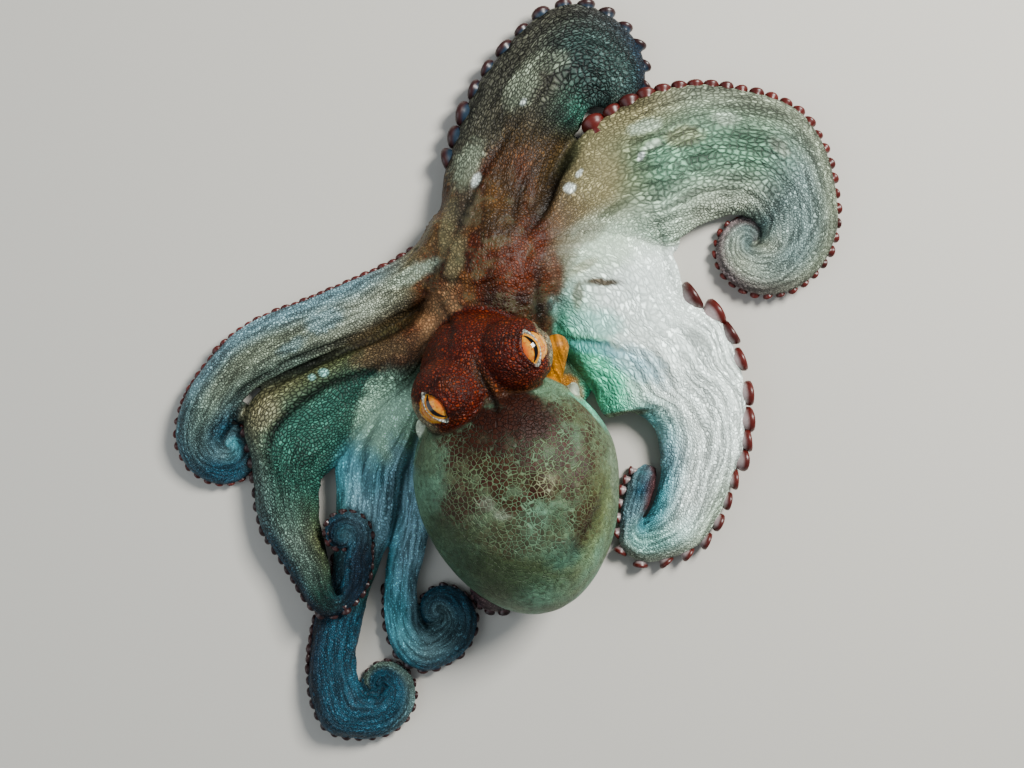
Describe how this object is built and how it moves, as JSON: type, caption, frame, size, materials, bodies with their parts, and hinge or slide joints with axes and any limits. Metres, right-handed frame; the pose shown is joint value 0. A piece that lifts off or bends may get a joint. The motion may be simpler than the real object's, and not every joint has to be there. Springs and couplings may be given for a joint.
{
  "type": "octopus",
  "caption": "Common octopus lying at rest on the floor, mantle behind, arms spread from the head and curled at their tips; a still, life-size model.",
  "frame": {"origin": "bottom centre of the bounding box, on the floor", "axes": "+Z up from the floor, +Y the way the crown of arms points from the mantle, +X to the side of the animal's right-hand arms as seen from above with +Y up"},
  "size_m": [0.1672, 0.1848, 0.0394],
  "materials": {
    "skin_mantle": "satin",
    "skin_head": "satin",
    "skin_web": "satin",
    "skin_arm": "satin",
    "funnel": "satin",
    "eye": "gloss"
  },
  "bodies": {
    "root": {"mantle": "skin_mantle", "head": "skin_head", "eye_left": "eye", "eye_right": "eye", "funnel": "funnel", "web": "skin_web", "arm_r1_root": "skin_arm", "arm_r1_mid": "skin_arm", "arm_r1_tip": "skin_arm", "arm_r2_root": "skin_arm", "arm_r2_mid": "skin_arm", "arm_r2_tip": "skin_arm", "arm_r3_root": "skin_arm", "arm_r3_mid": "skin_arm", "arm_r3_tip": "skin_arm", "arm_r4_root": "skin_arm", "arm_r4_mid": "skin_arm", "arm_r4_tip": "skin_arm", "arm_l1_root": "skin_arm", "arm_l1_mid": "skin_arm", "arm_l1_tip": "skin_arm", "arm_l2_root": "skin_arm", "arm_l2_mid": "skin_arm", "arm_l2_tip": "skin_arm", "arm_l3_root": "skin_arm", "arm_l3_mid": "skin_arm", "arm_l3_tip": "skin_arm", "arm_l4_root": "skin_arm", "arm_l4_mid": "skin_arm", "arm_l4_tip": "skin_arm"}
  },
  "joints": []
}
